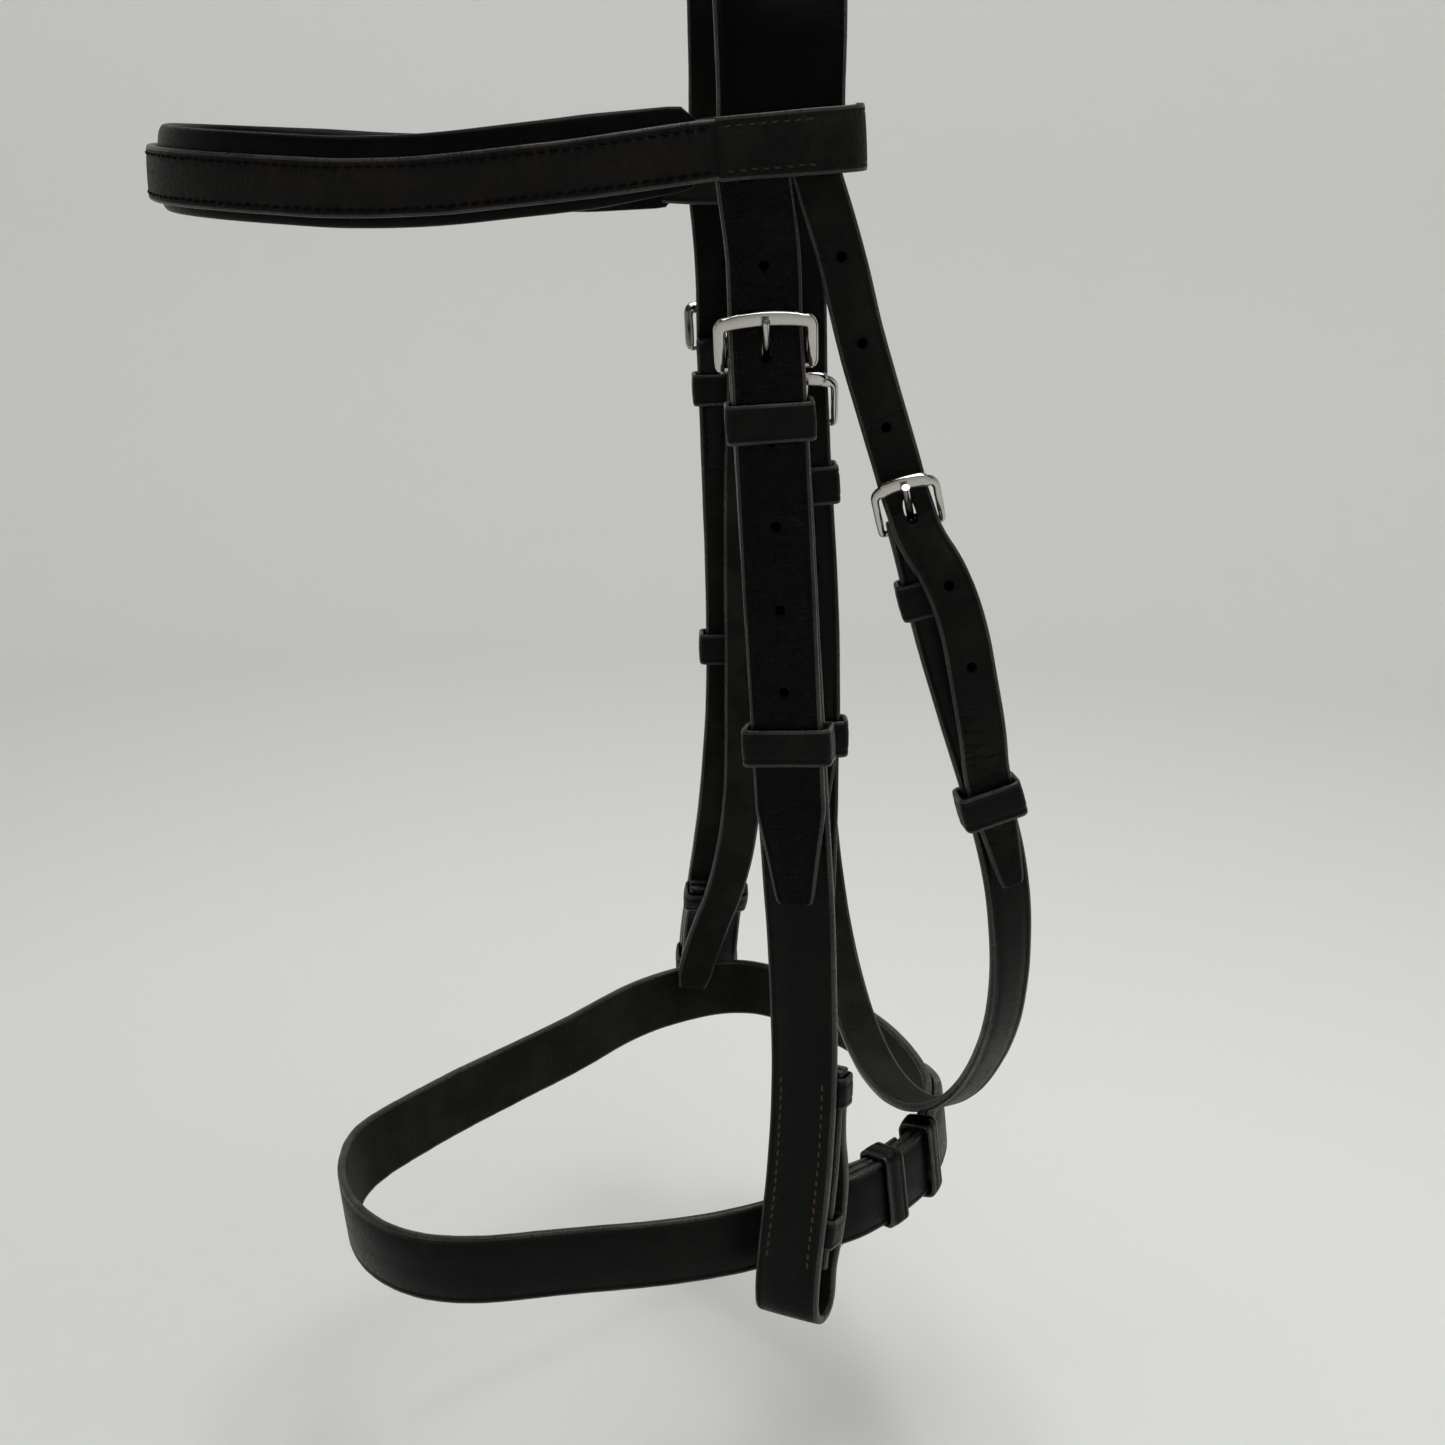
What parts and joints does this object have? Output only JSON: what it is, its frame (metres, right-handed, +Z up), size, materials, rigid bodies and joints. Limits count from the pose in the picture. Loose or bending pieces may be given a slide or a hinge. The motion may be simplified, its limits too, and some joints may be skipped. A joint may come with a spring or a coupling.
{
  "type": "bridle",
  "caption": "English horse bridle without a bit: headpiece, padded browband, cheekpieces with hook-stud bit ends, throatlash and cavesson noseband, joined by buckles and keepers.",
  "frame": {"origin": "underside of the headstrap at the middle of the poll, where the bridle rests on the horse", "axes": "+Z up, -Y forward towards the brow and nose, +X towards the near (left) side; the bridle hangs below the origin"},
  "size_m": [0.25, 0.2356, 0.4075],
  "materials": {
    "black_leather": "satin",
    "browband_leather": "satin",
    "lining_leather": "matte",
    "padding": "satin",
    "stainless": "polished"
  },
  "bodies": {
    "bridle": {"headpiece": "black_leather", "near_cheek_strap": "black_leather", "near_cheek_buckle": "stainless", "near_bit_backing": "lining_leather", "near_cheek_keeper": "black_leather", "near_bit_keeper_upper": "black_leather", "near_bit_keeper_lower": "black_leather", "near_hook_stud": "stainless", "near_throat_buckle": "stainless", "near_throat_keeper": "black_leather", "far_cheek_strap": "black_leather", "far_cheek_buckle": "stainless", "far_bit_backing": "lining_leather", "far_cheek_keeper": "black_leather", "far_bit_keeper_upper": "black_leather", "far_bit_keeper_lower": "black_leather", "far_hook_stud": "stainless", "far_throat_buckle": "stainless", "far_throat_keeper": "black_leather", "throatlash_strap": "black_leather", "cavesson_headstrap": "black_leather", "cavesson_cheek_strap": "black_leather", "cavesson_buckle": "stainless", "cavesson_keeper": "black_leather", "noseband_strap": "black_leather", "chin_buckle": "stainless", "chin_keeper": "black_leather"},
    "near_cheek_tongue": {"near_cheek_tongue": "stainless"},
    "far_cheek_tongue": {"far_cheek_tongue": "stainless"},
    "near_throat_tongue": {"near_throat_tongue": "stainless"},
    "far_throat_tongue": {"far_throat_tongue": "stainless"},
    "cavesson_tongue": {"cavesson_tongue": "stainless"},
    "chin_tongue": {"chin_tongue": "stainless"},
    "near_cheek_runner": {"near_cheek_runner": "black_leather"},
    "far_cheek_runner": {"far_cheek_runner": "black_leather"},
    "near_throat_runner": {"near_throat_runner": "black_leather"},
    "far_throat_runner": {"far_throat_runner": "black_leather"},
    "cavesson_runner": {"cavesson_runner": "black_leather"},
    "chin_runner": {"chin_runner": "black_leather"},
    "browband": {"browband_strap": "browband_leather", "browband_padding": "padding"}
  },
  "joints": [
    {"name": "near_cheek_tongue_lift", "type": "hinge", "parent": "bridle", "child": "near_cheek_tongue", "pos_m": [0.07925, -0.00283, -0.13131], "axis": [0.0113, 0.9981, 0.0605], "range_deg": [0, 10]},
    {"name": "far_cheek_tongue_lift", "type": "hinge", "parent": "bridle", "child": "far_cheek_tongue", "pos_m": [-0.07925, -0.00402, -0.14542], "axis": [0, -0.9995, -0.0328], "range_deg": [0, 10]},
    {"name": "near_throat_tongue_lift", "type": "hinge", "parent": "bridle", "child": "near_throat_tongue", "pos_m": [0.08465, 0.0338, -0.17096], "axis": [0.0061, 0.9676, 0.2526], "range_deg": [0, 10]},
    {"name": "far_throat_tongue_lift", "type": "hinge", "parent": "bridle", "child": "far_throat_tongue", "pos_m": [-0.08075, 0.0176, -0.184], "axis": [0, -0.997, -0.0779], "range_deg": [0, 10]},
    {"name": "cavesson_tongue_lift", "type": "hinge", "parent": "bridle", "child": "cavesson_tongue", "pos_m": [0.06445, 0.0078, -0.14788], "axis": [0.0022, 0.9986, 0.052], "range_deg": [0, 4]},
    {"name": "chin_tongue_lift", "type": "hinge", "parent": "bridle", "child": "chin_tongue", "pos_m": [0.04878, 0.02111, -0.37544], "axis": [0.0476, -0.1131, 0.9924], "range_deg": [0, 10]},
    {"name": "near_cheek_runner_slide", "type": "slide", "parent": "bridle", "child": "near_cheek_runner", "axis": [0, -0.0649, 0.9979], "range_m": [-0.006, 0.006]},
    {"name": "far_cheek_runner_slide", "type": "slide", "parent": "bridle", "child": "far_cheek_runner", "axis": [0.0119, 0.0011, 0.9999], "range_m": [-0.006, 0.006]},
    {"name": "near_throat_runner_slide", "type": "slide", "parent": "bridle", "child": "near_throat_runner", "axis": [0.0852, -0.2823, 0.9555], "range_m": [-0.002, 0.002]},
    {"name": "far_throat_runner_slide", "type": "slide", "parent": "bridle", "child": "far_throat_runner", "axis": [-0.0194, -0.067, 0.9976], "range_m": [-0.005, 0.005]},
    {"name": "cavesson_runner_slide", "type": "slide", "parent": "bridle", "child": "cavesson_runner", "axis": [-0.0329, 0.0012, 0.9995], "range_m": [-0.006, 0.006]},
    {"name": "chin_runner_slide", "type": "slide", "parent": "bridle", "child": "chin_runner", "axis": [0.904, -0.4177, -0.091], "range_m": [-0.0015, 0.0015]},
    {"name": "browband_slide", "type": "slide", "parent": "bridle", "child": "browband", "axis": [0, 0, 1], "range_m": [0, 0.006]}
  ]
}
